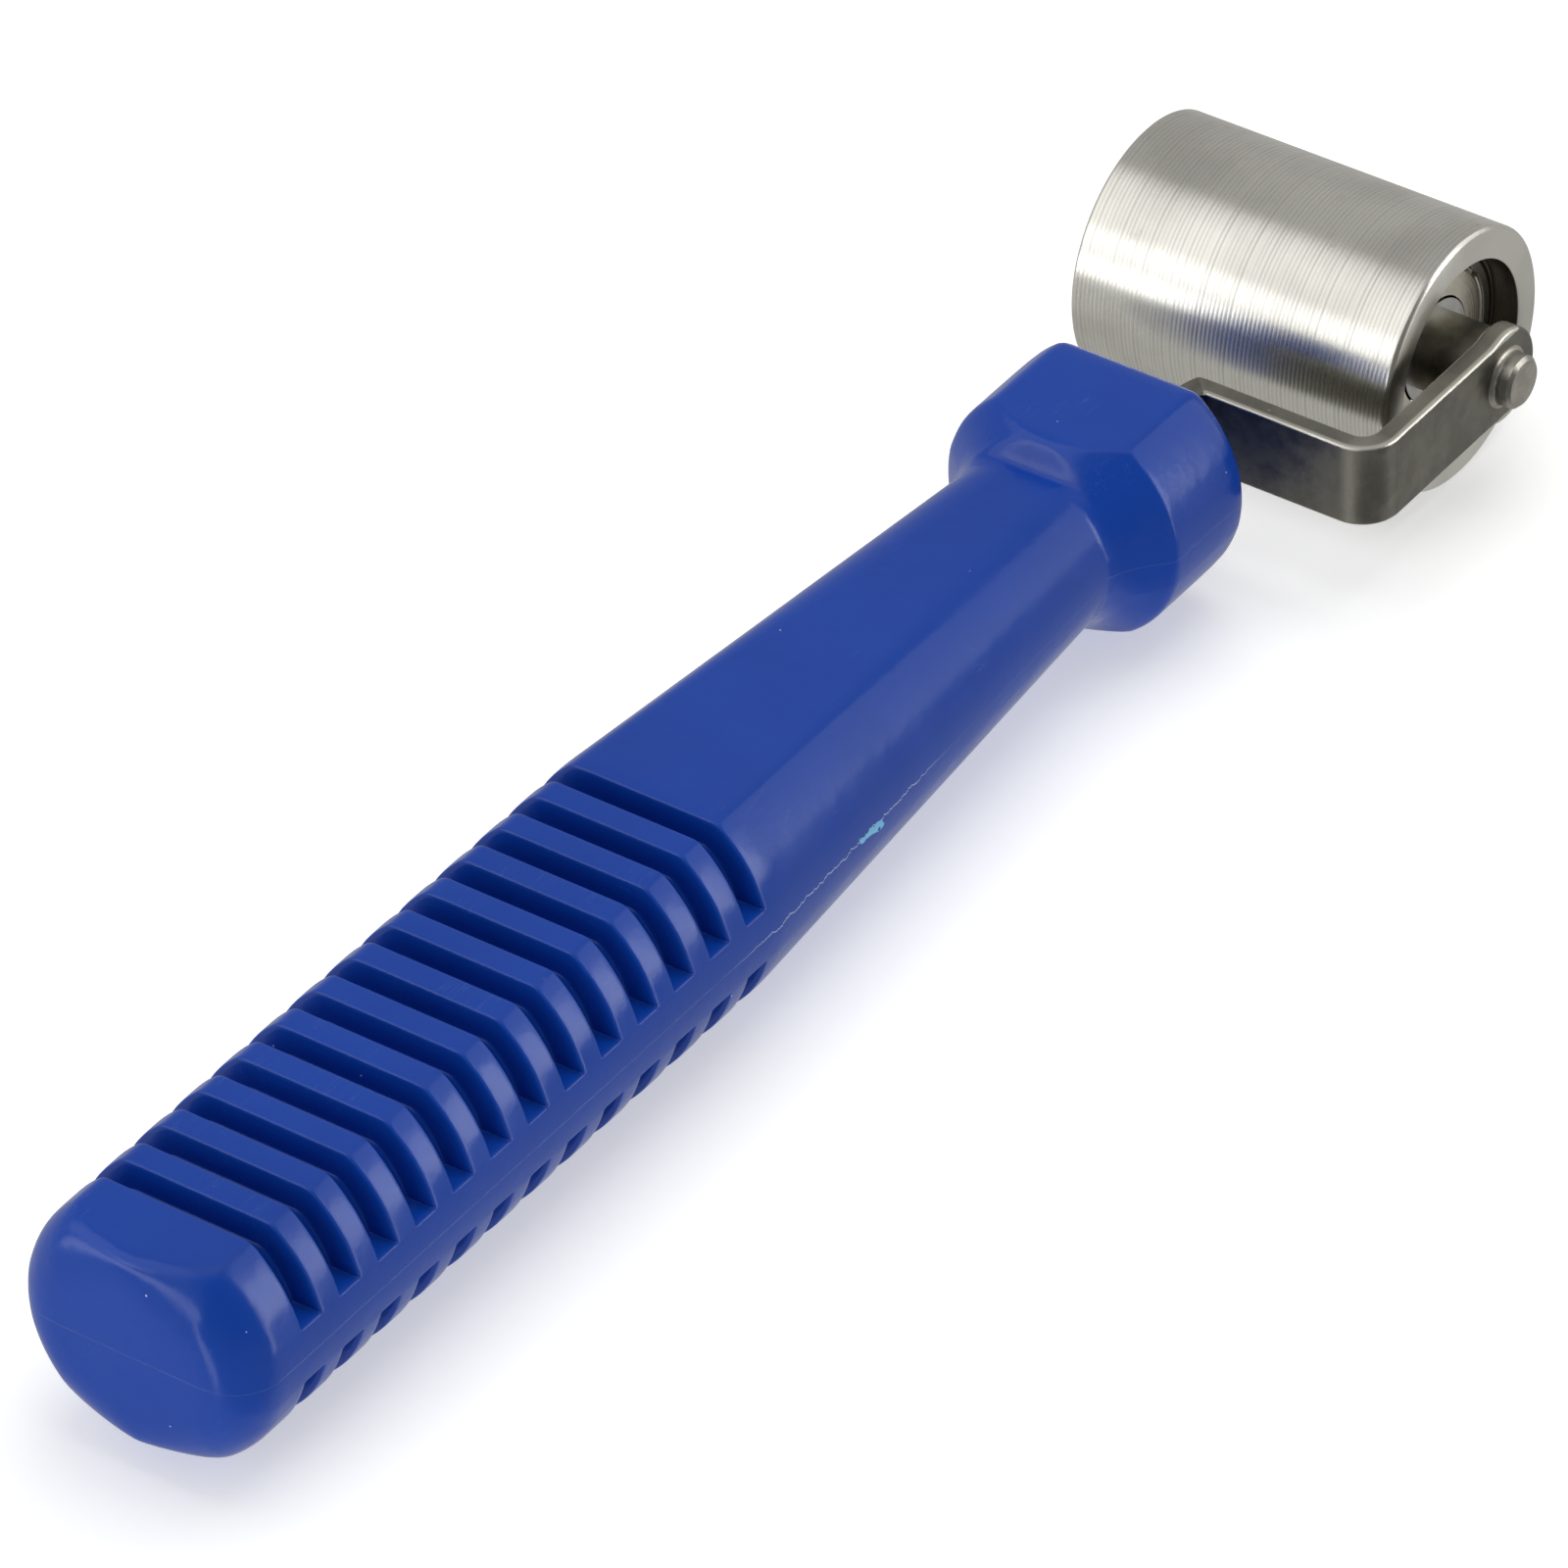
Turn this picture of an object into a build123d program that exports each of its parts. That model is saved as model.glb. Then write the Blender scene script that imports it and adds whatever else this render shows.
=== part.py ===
from build123d import *
import os
from math import sqrt

# A hand seam roller with a one-armed bracket. +X runs from the butt of the handle to the roller,
# +Z is up, and the roller turns about an axle along Y, held at its right (-Y) end. The origin is
# under the middle of the whole tool, on the plane the roller stands on. Millimetres throughout.

# ---- Driving dimensions ----

# Roller
ROLLER_R = 15.0
ROLLER_WIDTH = 40.0
ROLLER_EDGE = 0.4
MOUTH_R = 11.2
MOUTH_DEPTH = 3.25
MOUTH_EDGE = 0.3
SHELL_BORE_R = 9.5

# Ball bearings, size 608: 8 mm bore, 22 mm outside, 7 mm wide, with two metal shields
BEARING_BORE_R = 4.0
BEARING_OUTER_R = 11.0
BEARING_WIDTH = 7.0
BALL_R = 1.984
BALL_COUNT = 7
PITCH_R = 7.5
RACE_CLEARANCE = 0.016
INNER_LAND_R = 5.85
OUTER_LAND_R = 9.0
SHIELD_SEAT_R = 9.6
SHIELD_SEAT_Z = 2.65
RING_EDGE = 0.4
SHIELD_HOLE_R = 6.1
SHIELD_STEP_R = 8.9
SHIELD_THICKNESS = 0.3
SHIELD_FACE_Z = 3.35
WIRE_R = 0.22
WIRE_GAP_DEG = 10.0
WIRE_GAP_AT_DEG = 40.0
CAGE_INNER_R = 6.75
CAGE_OUTER_R = 8.25
CAGE_SHEET = 0.4
CAGE_PLAY = 0.045

# Bracket: one strip bent into a Z, from a narrow tang in the handle to a round eye on the axle
ARM_FACE_Y = 25.64
STRIP_WIDTH = 10.0
STRIP = 2.5
REACH = 25.5
BEND_INNER_R = 2.0
EYE_R = 5.5
EYE_BLEND_R = 4.0
BRACKET_EDGE_R = 0.35
TANG_WIDTH = 6.0
TANG_IN_HANDLE = 72.0
TANG_TIP = 1.0
SLOT_RELIEF = 3.0
SHOULDER_START = -2.5
SHOULDER_END = 0.5

# Axle, with the sleeves and the retaining ring that hold the bearings on it
AXLE_END_R = 3.0
AXLE_STUB = 2.2
STUB_FLARE = 0.55
STUB_EDGE = 0.4
AXLE_PAST_CLIP = 1.0
SPACER_R = 4.5
SLEEVE_R = 5.4
CLIP_GROOVE_R = 3.8
CLIP_THICKNESS = 0.8
CLIP_R = 5.2
CLIP_GAP = 1.4
LUG_X = 1.7
LUG_Y = 4.5
LUG_R = 1.1
LUG_HOLE_R = 0.5

# Handle: a round bar with a flat above and below, and a collar at the front
HANDLE_LENGTH = 173.85
STEM_GAP = 6.3
GRIP_R = 14.8
FLAT_Z = 11.85
GRIP_END = 87.75
NECK_END = 153.25
NECK_R = 10.15
NECK_FLAT_END = 155.0
NECK_FLAT_Z = 8.7
FLARE_SLOPE = 0.1
FLAT_FLARE_SLOPE = 1.0
COLLAR_START = 159.65
COLLAR_R = 14.5
COLLAR_FLAT_START = 156.55
COLLAR_EDGE_R = 2.7
BUTT_ROUND = 5.7
BUTT_FLAT_ROUND = 1.9

# Finger grooves, the same above and below
GROOVE_COUNT = 13
GROOVE_START = 9.25
GROOVE_PITCH = 6.12
GROOVE_WIDTH = 3.1
GROOVE_DEPTH = 3.2
GROOVE_LEDGE_Z = 3.24

# ---- Places that follow from them ----

TOTAL_LENGTH = HANDLE_LENGTH + STEM_GAP + REACH + ROLLER_R
BUTT_X = -TOTAL_LENGTH / 2
COLLAR_FACE_X = BUTT_X + HANDLE_LENGTH
AXLE_X = COLLAR_FACE_X + STEM_GAP + REACH
AXIS_Y = (ARM_FACE_Y + AXLE_STUB - ROLLER_WIDTH / 2) / 2
AXIS_Z = ROLLER_R
ARM_INNER_Y = ARM_FACE_Y - STRIP
BEARING_FACE_Y = ROLLER_WIDTH / 2 - MOUTH_DEPTH
BEARING_Y = BEARING_FACE_Y - BEARING_WIDTH / 2
SIDES = {"left": 1, "right": -1}
BIG = 100.0


def turned(outline, axis=Axis.Z):
    """A solid of revolution from an outline of lines and arcs drawn in the XZ plane."""
    return revolve(make_face(outline), axis=axis)


def closed(points):
    """A closed outline through (radius, height) points, in the XZ plane."""
    return Polyline([(x, 0, z) for x, z in points], close=True)


def along_y(shape, y, outward):
    """Stands a part drawn about Z on the axle's line, with its +Z side facing outward."""
    return Location((AXLE_X, y, AXIS_Z), (-90 * outward, 0, 0)) * shape


# ---- Handle ----

def bar_outline(side, butt_round, neck, neck_end, collar, collar_start, flare_slope):
    """Half the handle's outline, from the middle of its butt to the middle of its front.

    side, neck and collar are distances from the axis; neck_end and collar_start lie along it.
    """
    face = Line((0, 0, 0), (0, 0, side - butt_round))
    butt = TangentArc((0, 0, side - butt_round), (butt_round, 0, side), tangent=(0, 0, 1))
    bar = Polyline([(butt_round, 0, side), (GRIP_END, 0, side), (neck_end, 0, neck)])
    flare = TangentArc((neck_end, 0, neck), (collar_start, 0, collar), tangent=(1, 0, flare_slope))
    edge_start = (HANDLE_LENGTH - COLLAR_EDGE_R, 0, collar)
    edge_end = (HANDLE_LENGTH, 0, collar - COLLAR_EDGE_R)
    top = Line((collar_start, 0, collar), edge_start)
    edge = TangentArc(edge_start, edge_end, tangent=(1, 0, 0))
    front = Polyline([edge_end, (HANDLE_LENGTH, 0, 0), (0, 0, 0)])
    return Wire([face, butt, *bar.edges(), flare, top, edge, *front.edges()])


def handle_sides():
    """The handle as a round bar."""
    outline = bar_outline(
        GRIP_R, BUTT_ROUND, NECK_R, NECK_END, COLLAR_R, COLLAR_START, FLARE_SLOPE
    )
    return turned(outline, Axis.X)


def handle_flats():
    """The side view of the handle, which cuts the flats above and below."""
    outline = bar_outline(
        FLAT_Z, BUTT_FLAT_ROUND, NECK_FLAT_Z, NECK_FLAT_END, FLAT_Z, COLLAR_FLAT_START,
        FLAT_FLARE_SLOPE,
    )
    upper = extrude(make_face(outline), amount=GRIP_R + 1, both=True)
    return upper + mirror(upper, about=Plane.XY)


def groove():
    """One finger groove above the ledge, down to a floor that follows the grip's section."""
    floor = Cylinder(GRIP_R - GROOVE_DEPTH, GROOVE_WIDTH + 1, rotation=(0, 90, 0))
    flat = Box(GROOVE_WIDTH + 1, BIG, 2 * (FLAT_Z - GROOVE_DEPTH))
    slab = Pos(0, 0, GROOVE_LEDGE_Z) * Box(
        GROOVE_WIDTH, 2 * GRIP_R + 2, GRIP_R, align=(Align.CENTER, Align.CENTER, Align.MIN)
    )
    return slab - (floor & flat)


def handle():
    body = handle_sides() & handle_flats()
    above = groove()
    below = mirror(above, about=Plane.XY)
    for index in range(GROOVE_COUNT):
        x = GROOVE_START + GROOVE_PITCH * index + GROOVE_WIDTH / 2
        body -= Pos(x, 0, 0) * above
        body -= Pos(x, 0, 0) * below
    depth = TANG_IN_HANDLE + SLOT_RELIEF
    slot = Box(depth, STRIP, TANG_WIDTH, align=(Align.MAX, Align.CENTER, Align.CENTER))
    return Pos(BUTT_X, 0, AXIS_Z) * (body - Pos(HANDLE_LENGTH, 0, 0) * slot)


# ---- Bracket, drawn about the middle of its eye ----

def bracket_plan():
    """The bent strip from above: tang, first bend, crossbar, second bend and arm."""
    back = -REACH
    front = STRIP - REACH
    tang_end = back - STEM_GAP - TANG_IN_HANDLE
    half = STRIP / 2
    outline = Polyline([
        (tang_end, half),
        (front, half),
        (front, -ARM_INNER_Y),
        (EYE_R, -ARM_INNER_Y),
        (EYE_R, -ARM_FACE_Y),
        (back, -ARM_FACE_Y),
        (back, -half),
        (tang_end, -half),
    ], close=True)
    plan = make_face(outline)
    inner_bends = [corner_at(plan, front, -ARM_INNER_Y), corner_at(plan, back, -half)]
    plan = fillet(inner_bends, BEND_INNER_R)
    outer_bends = [corner_at(plan, front, half), corner_at(plan, back, -ARM_FACE_Y)]
    return fillet(outer_bends, BEND_INNER_R + STRIP)


def corner_at(face, x, y):
    """The corner of a face nearest to a place."""
    return face.vertices().sort_by_distance((x, y, 0))[0]


def bracket_side():
    """The bracket from the side: the tang, the full strip, and the eye blended into its end."""
    tang = Pos(-REACH, 0) * Rectangle(
        STEM_GAP + TANG_IN_HANDLE, TANG_WIDTH, align=(Align.MAX, Align.CENTER)
    )
    tang = chamfer(tang.vertices().group_by(Axis.X)[0], TANG_TIP)
    length = REACH + BEND_INNER_R
    strip = Rectangle(length, STRIP_WIDTH, align=(Align.MAX, Align.CENTER))
    face = strip + Circle(EYE_R)
    blend_x = -sqrt(EYE_R**2 - (STRIP_WIDTH / 2) ** 2)
    corners = [v for v in face.vertices() if abs(v.X - blend_x) < 0.01]
    return fillet(corners, EYE_BLEND_R) + tang


def shoulder():
    """What is cut away above the tang, sloping down to it across the middle of the first bend."""
    bend = Plane(
        origin=(-REACH - BEND_INNER_R, -STRIP / 2 - BEND_INNER_R, 0), x_dir=(-1, 1, 0), z_dir=(1, 1, 0)
    )
    outline = Polyline([
        (SHOULDER_START, STRIP_WIDTH / 2),
        (SHOULDER_END, TANG_WIDTH / 2),
        (BIG, TANG_WIDTH / 2),
        (BIG, STRIP_WIDTH),
        (SHOULDER_START, STRIP_WIDTH),
    ], close=True)
    return extrude(bend * make_face(outline), amount=BIG, both=True)


def is_rim(edge):
    """True for an edge along the strip outside the handle, not for one across or up its side."""
    size = edge.bounding_box().size
    upright = abs(size.Z - edge.length) < 0.01
    across = edge.length < STRIP + 1
    return not upright and not across and edge.center().X > -REACH - BEND_INNER_R


def bracket():
    body = extrude(bracket_plan(), amount=STRIP_WIDTH, both=True)
    body &= extrude(Plane.XZ * bracket_side(), amount=BIG, both=True)
    body = fillet(body.edges().filter_by(is_rim), BRACKET_EDGE_R)
    above = shoulder()
    body -= above
    body -= mirror(above, about=Plane.XY)
    eye = Cylinder(AXLE_END_R, BIG, rotation=(90, 0, 0))
    return Pos(AXLE_X, 0, AXIS_Z) * (body - eye)


# ---- Axle, drawn with its right end up ----

def axle_pin():
    """A shouldered pin, set over against the arm, with a groove for the ring at its free end."""
    free_end = -BEARING_FACE_Y - CLIP_THICKNESS - AXLE_PAST_CLIP
    tip = ARM_FACE_Y + AXLE_STUB
    lines = Polyline([
        (0, 0, free_end),
        (BEARING_BORE_R - STUB_EDGE, 0, free_end),
        (BEARING_BORE_R, 0, free_end + STUB_EDGE),
        (BEARING_BORE_R, 0, -BEARING_FACE_Y - CLIP_THICKNESS),
        (CLIP_GROOVE_R, 0, -BEARING_FACE_Y - CLIP_THICKNESS),
        (CLIP_GROOVE_R, 0, -BEARING_FACE_Y),
        (BEARING_BORE_R, 0, -BEARING_FACE_Y),
        (BEARING_BORE_R, 0, ARM_INNER_Y),
        (AXLE_END_R, 0, ARM_INNER_Y),
        (AXLE_END_R, 0, ARM_FACE_Y),
        (AXLE_END_R + STUB_FLARE, 0, ARM_FACE_Y),
    ])
    flare_top = (AXLE_END_R, 0, ARM_FACE_Y + STUB_FLARE)
    flare = TangentArc(flare_top, (AXLE_END_R + STUB_FLARE, 0, ARM_FACE_Y), tangent=(0, 0, -1))
    end = Polyline([
        flare_top,
        (AXLE_END_R, 0, tip - STUB_EDGE),
        (AXLE_END_R - STUB_EDGE, 0, tip),
        (0, 0, tip),
        (0, 0, free_end),
    ])
    return along_y(turned(Wire([*lines.edges(), flare, *end.edges()])), 0, -1)


def sleeve(outer_r, start, end):
    """A plain tube on the axle, between two distances to the right of its middle."""
    length = end - start
    tube = Cylinder(outer_r, length) - Cylinder(BEARING_BORE_R, length)
    return along_y(tube, -(start + end) / 2, -1)


def retaining_ring():
    """An open ring sprung into the axle's groove, with an eyed lug on each side of its gap."""
    plate = Circle(CLIP_R)
    holes = Circle(CLIP_GROOVE_R)
    for x in (LUG_X, -LUG_X):
        plate += Pos(x, LUG_Y) * Circle(LUG_R)
        holes += Pos(x, LUG_Y) * Circle(LUG_HOLE_R)
    gap = Rectangle(CLIP_GAP, 2 * CLIP_R, align=(Align.CENTER, Align.MIN))
    return along_y(extrude(plate - holes - gap, amount=CLIP_THICKNESS), BEARING_FACE_Y, 1)


# ---- Roller shell ----

def roller_shell():
    half = ROLLER_WIDTH / 2
    shoulder = BEARING_FACE_Y - BEARING_WIDTH
    upper = [
        (SHELL_BORE_R, shoulder),
        (BEARING_OUTER_R, shoulder),
        (BEARING_OUTER_R, BEARING_FACE_Y),
        (MOUTH_R, BEARING_FACE_Y),
        (MOUTH_R, half - MOUTH_EDGE),
        (MOUTH_R + MOUTH_EDGE, half),
        (ROLLER_R - ROLLER_EDGE, half),
        (ROLLER_R, half - ROLLER_EDGE),
    ]
    lower = [(r, -z) for r, z in reversed(upper)]
    return along_y(turned(closed(upper + lower)), 0, 1)


# ---- Ball bearings, drawn about Z with the outward face up ----

def race_half_width(land_r):
    """Half the width of a ball groove where it meets a ring's land."""
    return sqrt((BALL_R + RACE_CLEARANCE) ** 2 - (land_r - PITCH_R) ** 2)


def outer_ring():
    top = BEARING_WIDTH / 2
    half_width = race_half_width(OUTER_LAND_R)
    groove_r = PITCH_R + BALL_R + RACE_CLEARANCE
    race = ThreePointArc(
        (OUTER_LAND_R, 0, -half_width), (groove_r, 0, 0), (OUTER_LAND_R, 0, half_width)
    )
    upper = [
        (OUTER_LAND_R, half_width),
        (OUTER_LAND_R, SHIELD_SEAT_Z),
        (SHIELD_SEAT_R, SHIELD_SEAT_Z),
        (SHIELD_SEAT_R, top),
        (BEARING_OUTER_R - RING_EDGE, top),
        (BEARING_OUTER_R, top - RING_EDGE),
    ]
    lower = [(r, -z) for r, z in reversed(upper)]
    rest = Polyline([(r, 0, z) for r, z in upper + lower])
    return turned(Wire([race, *rest.edges()]))


def inner_ring():
    top = BEARING_WIDTH / 2
    half_width = race_half_width(INNER_LAND_R)
    groove_r = PITCH_R - BALL_R - RACE_CLEARANCE
    race = ThreePointArc(
        (INNER_LAND_R, 0, -half_width), (groove_r, 0, 0), (INNER_LAND_R, 0, half_width)
    )
    upper = [
        (INNER_LAND_R, half_width),
        (INNER_LAND_R, top),
        (BEARING_BORE_R + RING_EDGE, top),
        (BEARING_BORE_R, top - RING_EDGE),
    ]
    lower = [(r, -z) for r, z in reversed(upper)]
    rest = Polyline([(r, 0, z) for r, z in upper + lower])
    return turned(Wire([race, *rest.edges()]))


def ball_places():
    return PolarLocations(PITCH_R, BALL_COUNT)


def balls():
    return Compound(children=[place * Sphere(BALL_R) for place in ball_places()])


def cage_half(up):
    """One pressed ribbon of the cage: flat between the balls and cupped over each of them."""
    pocket_r = BALL_R + CAGE_PLAY
    cup_r = pocket_r + CAGE_SHEET
    band = Cylinder(CAGE_OUTER_R, 2 * cup_r) - Cylinder(CAGE_INNER_R, 2 * cup_r)
    flat = Cylinder(CAGE_OUTER_R, 2 * CAGE_SHEET)
    half_space = Box(BIG, BIG, BIG, align=(Align.CENTER, Align.CENTER, Align.MIN))
    ribbon = band & flat
    for place in ball_places():
        ribbon += band & (place * Sphere(cup_r))
    for place in ball_places():
        ribbon -= place * Sphere(pocket_r)
    ribbon = ribbon & half_space
    return ribbon if up else mirror(ribbon, about=Plane.XY)


def shield(up):
    """A pressed plate over the balls, stepped down to a rim that its snap wire holds."""
    face = SHIELD_FACE_Z
    rim = SHIELD_SEAT_Z + SHIELD_THICKNESS
    plate = turned(closed([
        (SHIELD_HOLE_R, face - SHIELD_THICKNESS),
        (SHIELD_STEP_R - SHIELD_THICKNESS / 2, face - SHIELD_THICKNESS),
        (SHIELD_STEP_R + SHIELD_THICKNESS / 3, SHIELD_SEAT_Z),
        (SHIELD_SEAT_R, SHIELD_SEAT_Z),
        (SHIELD_SEAT_R, rim),
        (SHIELD_STEP_R + 2 * SHIELD_THICKNESS / 3, rim),
        (SHIELD_STEP_R, face),
        (SHIELD_HOLE_R, face),
    ]))
    return plate if up else mirror(plate, about=Plane.XY)


def snap_wire(up):
    """A split ring of round wire, sprung into the outer ring over the shield's rim."""
    section_z = SHIELD_SEAT_Z + SHIELD_THICKNESS + WIRE_R
    section = Pos(SHIELD_SEAT_R - WIRE_R, 0, section_z) * (Plane.XZ * Circle(WIRE_R))
    wire = revolve(section, axis=Axis.Z, revolution_arc=360 - WIRE_GAP_DEG)
    wire = Rot(0, 0, WIRE_GAP_AT_DEG) * wire
    return wire if up else mirror(wire, about=Plane.XY)


def bearing(name, side):
    """Every piece of one bearing, in its place on the axle."""
    pieces = {
        f"bearing_outer_ring_{name}": outer_ring(),
        f"bearing_inner_ring_{name}": inner_ring(),
        f"bearing_balls_{name}": balls(),
        f"cage_ribbon_outer_{name}": cage_half(True),
        f"cage_ribbon_inner_{name}": cage_half(False),
        f"shield_outer_{name}": shield(True),
        f"shield_inner_{name}": shield(False),
        f"snap_wire_outer_{name}": snap_wire(True),
        f"snap_wire_inner_{name}": snap_wire(False),
    }
    return {node: along_y(shape, side * BEARING_Y, side) for node, shape in pieces.items()}


# ---- The tool ----

def seam_roller():
    inner_face = BEARING_FACE_Y - BEARING_WIDTH
    nodes = {
        "handle": handle(),
        "bracket": bracket(),
        "axle_pin": axle_pin(),
        "arm_spacer": sleeve(SPACER_R, BEARING_FACE_Y, ARM_INNER_Y),
        "distance_sleeve": sleeve(SLEEVE_R, -inner_face, inner_face),
        "retaining_ring": retaining_ring(),
        "roller_shell": roller_shell(),
    }
    for name, side in SIDES.items():
        nodes.update(bearing(name, side))
    return nodes


os.makedirs("parts", exist_ok=True)
for node, shape in seam_roller().items():
    export_step(Pos(0, AXIS_Y, 0) * shape, f"parts/{node}.step")
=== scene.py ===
from math import asin, cos, pi, radians, sin, sqrt

import bmesh
import bpy
from mathutils import Matrix, Vector


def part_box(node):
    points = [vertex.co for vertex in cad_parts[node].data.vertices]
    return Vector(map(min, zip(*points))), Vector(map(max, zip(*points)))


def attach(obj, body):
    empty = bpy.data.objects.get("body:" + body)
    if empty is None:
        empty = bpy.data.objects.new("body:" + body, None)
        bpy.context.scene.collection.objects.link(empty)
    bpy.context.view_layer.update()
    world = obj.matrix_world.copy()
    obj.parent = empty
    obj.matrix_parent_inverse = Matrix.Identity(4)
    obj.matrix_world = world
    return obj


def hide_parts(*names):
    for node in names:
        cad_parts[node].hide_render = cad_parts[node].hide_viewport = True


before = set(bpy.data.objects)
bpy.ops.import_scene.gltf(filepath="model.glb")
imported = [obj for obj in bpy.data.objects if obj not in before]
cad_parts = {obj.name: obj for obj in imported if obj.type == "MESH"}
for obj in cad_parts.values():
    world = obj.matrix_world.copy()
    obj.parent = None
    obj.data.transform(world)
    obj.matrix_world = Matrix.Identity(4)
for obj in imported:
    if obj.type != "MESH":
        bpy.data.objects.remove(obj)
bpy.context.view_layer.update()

# The seam roller's looks, in metres and in the CAD model's frame. Outlines are worked out in
# millimetres along the handle or the axle and scaled when their mesh is made.

MM = 0.001

# ---- Places read from the frame ----

HANDLE_LOW, HANDLE_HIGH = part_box("handle")
BUTT_X = HANDLE_LOW.x
AXIS_Y = (HANDLE_LOW.y + HANDLE_HIGH.y) / 2
AXIS_Z = (HANDLE_LOW.z + HANDLE_HIGH.z) / 2
HANDLE_LENGTH = (HANDLE_HIGH.x - HANDLE_LOW.x) / MM
GRIP_R = (HANDLE_HIGH.y - HANDLE_LOW.y) / 2 / MM
FLAT_Z = (HANDLE_HIGH.z - HANDLE_LOW.z) / 2 / MM

SHELL_LOW, SHELL_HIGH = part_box("roller_shell")
AXLE_X = (SHELL_LOW.x + SHELL_HIGH.x) / 2
# The turned faces stay this far inside the CAD roller, in millimetres, so its box holds them
SHELL_INSET = 0.002
ROLLER_R = (SHELL_HIGH.z - SHELL_LOW.z) / 2 / MM - SHELL_INSET
ROLLER_HALF = (SHELL_HIGH.y - SHELL_LOW.y) / 2 / MM
# The clear space between the collar and the crossbar, in millimetres
CROSSBAR_GAP = 6.3
BRACKET_BACK = HANDLE_HIGH.x + CROSSBAR_GAP * MM
BRACKET_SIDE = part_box("bracket")[0].y

# ---- Handle shape, in millimetres from the butt and from the handle's axis ----

BUTT_ROUND = 5.7
BUTT_FLAT_ROUND = 1.9
GRIP_END = 87.75
NECK_END = 153.25
NECK_R = 10.15
NECK_FLAT_END = 154.75
NECK_FLAT_Z = 8.7
COLLAR_START = 159.65
COLLAR_R = 14.5
COLLAR_FLAT_START = 156.55
COLLAR_EDGE_R = 2.7
FLARE_HOLLOW = 0.9
FLAT_FLARE_HOLLOW = 0.35
FLARE_TOP = 159.5
MOST_FLAT = 0.985
CORNER_R = 0.7
BUTT_CORNER_R = 9.0
NECK_CORNER_R = 2.2
SLOT_HALF_Y = 1.25
SLOT_HALF_Z = 3.0
SLOT_DEPTH = 3.0

GROOVE_COUNT = 13
GROOVE_START = 9.25
GROOVE_PITCH = 6.12
GROOVE_WIDTH = 3.1
GROOVE_DEPTH = 3.2
LEDGE_Z = 3.24
GROOVE_DRAFT = 0.12
GROOVE_LIP = 0.08

# The outside radius of the bracket's bend, in millimetres
BEND_R = 4.5

# ---- Roller shape, in millimetres along the axle and from it ----

MOUTH_R = 11.2
MOUTH_DEPTH = 3.25
SEAT_R = 11.0
SEAT_DEPTH = 10.25
SHELL_BORE_R = 9.5
ROLLER_EDGE = 0.4
MOUTH_EDGE = 0.3
FEED = 0.52
FEED_DEPTH = 0.03
FEED_STEPS = 4
ROLLER_SIDES = 180

# ---- Camera: where it looks, from where, and through what lens ----

LOOK_AT = Vector((-0.003475, AXIS_Y - 0.0018, AXIS_Z))
CAMERA_AZIMUTH = radians(-53.54)
CAMERA_ELEVATION = radians(38.06)
CAMERA_ROLL = radians(-2.08)
CAMERA_DISTANCE = 1.192
LENS = 270
SENSOR_WIDTH = 36

# How brightly the lit table under the paper shows through it
FLOOR_GLOW = 0.62
FLOOR_HALF = 6.0

# How far every light panel stands from the tool, in metres
PANEL_DISTANCE = 1.5


# ---- Mesh helpers ----

def add_object(name, mesh):
    obj = bpy.data.objects.new(name, mesh)
    bpy.context.scene.collection.objects.link(obj)
    return obj


def mesh_of_loops(name, loops, along_closed=False):
    """A mesh of quads between neighbouring loops, each a list of points of one length."""
    mesh = bpy.data.meshes.new(name)
    count = len(loops[0])
    vertices = [point for loop in loops for point in loop]
    faces = []
    rings = len(loops) if along_closed else len(loops) - 1
    for i in range(rings):
        for j in range(count):
            a, b = i * count, (i + 1) % len(loops) * count
            k = (j + 1) % count
            faces.append((a + j, a + k, b + k, b + j))
    mesh.from_pydata(vertices, [], faces)
    return mesh


def outward(mesh):
    """Turns every face of a closed mesh outward."""
    work = bmesh.new()
    work.from_mesh(mesh)
    bmesh.ops.recalc_face_normals(work, faces=work.faces)
    work.to_mesh(mesh)
    work.free()


def ease(t):
    return t * t * (3 - 2 * t)


# ---- The handle ----

def rounding(u, side, length):
    """The distance from the axis on the butt's round, u along it."""
    return side - length + sqrt(length**2 - (length - u) ** 2)


def flare(u, neck, neck_end, collar, collar_start, hollow):
    """The hollow rise from the neck to the collar, nearly straight with a tight bend at each end."""
    t = (u - neck_end) / (collar_start - neck_end)
    return neck + (collar - neck) * t - hollow * sin(pi * t) * (1 - 0.35 * t)


def bar(u, round_end, side, neck, neck_end, collar, collar_start, hollow):
    """Half the handle's thickness, in one direction, at u from the butt."""
    if u < round_end:
        return rounding(u, side, round_end)
    if u < GRIP_END:
        return side
    if u < neck_end:
        return side + (neck - side) * (u - GRIP_END) / (neck_end - GRIP_END)
    if u < collar_start:
        return flare(u, neck, neck_end, collar, collar_start, hollow)
    into_edge = max(0, u - (HANDLE_LENGTH - COLLAR_EDGE_R))
    return collar - COLLAR_EDGE_R + sqrt(COLLAR_EDGE_R**2 - into_edge**2)


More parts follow.
